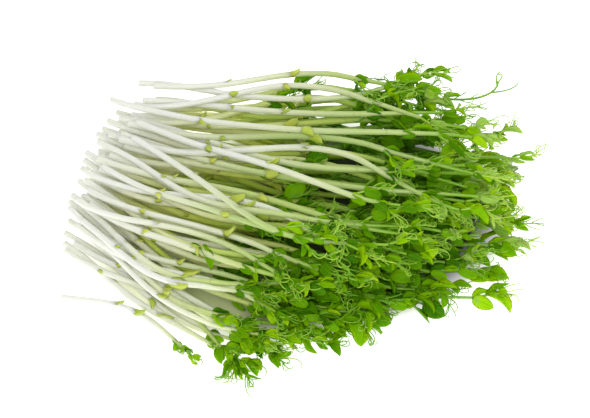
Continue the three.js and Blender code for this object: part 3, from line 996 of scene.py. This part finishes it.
made = 0
for name, rows in units.items():
    endings = ("stem", "top") if name.startswith("loose") else ("stems", "tops")
    stems_node, tops_node = (f"{name}_{ending}" for ending in endings)
    split = rows["green_from"]
    parts = [stem_parts(rows, rows["first"], split, rim=0.9), scale_leaves(rows)]
    finishes = [STEM, STEM]
    early = early_stalks(rows)
    if len(early["seed"]):
        leafy, leafy_finishes = leafy_parts(early)
        parts += leafy
        finishes += leafy_finishes
    stems = make_piece(f"{stems_node}_detailed", parts, finishes)
    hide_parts(stems_node)
    leafy, leafy_finishes = leafy_parts(leaf_stalks(rows))
    parts = [stem_parts(rows, split, rows["last"], rim=1.0)] + leafy
    tops = make_piece(f"{tops_node}_detailed", parts, [STEM] + leafy_finishes)
    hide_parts(tops_node)
    for piece in (stems, tops):
        made += len(piece.data.loops) - 2 * len(piece.data.polygons)
print(2 * len(units), "pieces with", made, "triangles")

# %% [markdown]
# ## Floor
#
# A pale floor with no edge in view. Around the heap it glows a little, so that it stays white.
# Under the heap it doesn't. There it is cream, because a real heap has more stems than this one and
# no white shows between them. Under the leaves it is dark green instead: a painted shadow that
# stands in for the shade of a fuller heap. Both changes follow an oval that keeps to what the heap
# covers.

# %% Floor
FLOOR_HALF = 3.0
OVAL_TURN = math.radians(12)
OVAL_CORE = 0.8

corners = [(x * FLOOR_HALF, y * FLOOR_HALF, 0) for x, y in ((-1, -1), (1, -1), (1, 1), (-1, 1))]
floor_mesh = bpy.data.meshes.new("floor")
floor_mesh.from_pydata(corners, [], [(0, 1, 2, 3)])
floor = bpy.data.objects.new("floor", floor_mesh)
bpy.context.scene.collection.objects.link(floor)
pale, pale_shader, pale_node = new_finish("pale_floor")
spots = pale_node("TexCoord").outputs["Object"]


def outside_oval(centre, half, high):
    """0 in the core of an oval on the floor, rising evenly to high at its edge and outside it. The
    oval is turned, because the front edge of the heap runs askew."""
    turn = pale_node(
        "VectorRotate", {"rotation_type": "Z_AXIS"},
        Vector=spots, Center=(*centre, 0), Angle=-OVAL_TURN,
    )
    oval = pale_node(
        "Mapping", Vector=turn.outputs["Vector"],
        Location=(-centre[0] / half[0], -centre[1] / half[1], 0),
        Scale=(1 / half[0], 1 / half[1], 1),
    )
    away = pale_node("VectorMath", {"operation": "LENGTH"}, Vector=oval.outputs["Vector"])
    value = pale_node(
        "MapRange", Value=away.outputs["Value"], From_Min=OVAL_CORE, From_Max=1.0, To_Max=high,
    )
    return value.outputs["Result"]


# Each oval by its centre and its half sizes: that of the heap, and that of the painted shadow under
# the leaves in it.
outside_heap = outside_oval((-2 * MM, 8 * MM), (76 * MM, 50 * MM), high=0.8)
outside_painted_shade = outside_oval((24 * MM, 11 * MM), (50 * MM, 42 * MM), high=1.0)
cream_to_white = pale_node(
    "Mix", {"data_type": "RGBA"},
    Factor=outside_heap, A=(0.84, 0.88, 0.52, 1), B=(0.92, 0.92, 0.95, 1),
)
# The dark green in the core of the leaves' oval is a painted shadow.
ground = pale_node(
    "Mix", {"data_type": "RGBA"},
    Factor=outside_painted_shade, A=(0.05, 0.08, 0.03, 1), B=cream_to_white.outputs["Result"],
)
fill(
    pale_shader, Base_Color=ground.outputs["Result"], Roughness=0.7,
    Emission_Color=(0.98, 0.97, 1.0, 1), Emission_Strength=outside_heap,
)
floor_mesh.materials.append(pale)
print("the floor is", floor.dimensions.x, "m wide")

# %% [markdown]
# ## Light
#
# An even white surround gives most of the light, so no shadow is hard. A large lamp in front lights
# the side that is seen, and a smaller and weaker one, high on the right and behind, picks out the
# upper edges of stems and leaves.

# %% Light
world = bpy.data.worlds.new("surround")
bpy.context.scene.world = world
world.use_nodes = True
fill(world.node_tree.nodes["Background"], Color=(0.97, 0.98, 1.0, 1), Strength=0.58)
bpy.context.scene.view_settings.view_transform = "Standard"


def soft_lamp(name, place, size, power):
    """A square lamp that faces the heap, with its size in metres and its power in watts."""
    data = bpy.data.lights.new(name, "AREA")
    data.size, data.energy = size, power
    lamp = bpy.data.objects.new(name, data)
    lamp.location = place
    towards_heap = Vector((0, 0, 0.02)) - lamp.location
    lamp.rotation_euler = towards_heap.to_track_quat("-Z", "Y").to_euler()
    bpy.context.scene.collection.objects.link(lamp)


soft_lamp("key", Vector((0.35, 0.45, 0.9)), size=0.5, power=1.8)
soft_lamp("fill", Vector((0.0, -0.75, 0.9)), size=0.6, power=5.9)
print("lamps:", [lamp.name for lamp in bpy.data.lights])

# %% [markdown]
# ## Camera
#
# The camera looks down at 50 degrees from the front. It is far away with a long lens, so the heap
# keeps its true proportions. The aim is a point inside the heap, and the lens follows from how wide
# the view is there.

# %% Camera
ELEVATION = math.radians(50)
DISTANCE = 0.9
FRAME_WIDTH = 197.65 * MM
# The aim in the formulas' own millimetres.
AIM_ACROSS, AIM_DEEP, AIM_UP = -0.7, -5.6, 15.0
aim = Vector((AIM_ACROSS - HEAP_MIDDLE[0], AIM_DEEP - HEAP_MIDDLE[1], AIM_UP)) * MM
eye = aim + DISTANCE * Vector((0, -math.cos(ELEVATION), math.sin(ELEVATION)))
camera_data = bpy.data.cameras.new("camera")
camera_data.lens = camera_data.sensor_width * DISTANCE / FRAME_WIDTH
camera_data.clip_start = 0.01
camera = bpy.data.objects.new("camera", camera_data)
camera.location = eye
camera.rotation_euler = (aim - eye).to_track_quat("-Z", "Y").to_euler()
bpy.context.scene.collection.objects.link(camera)
bpy.context.scene.camera = camera
print("the lens is", round(camera_data.lens), "mm")
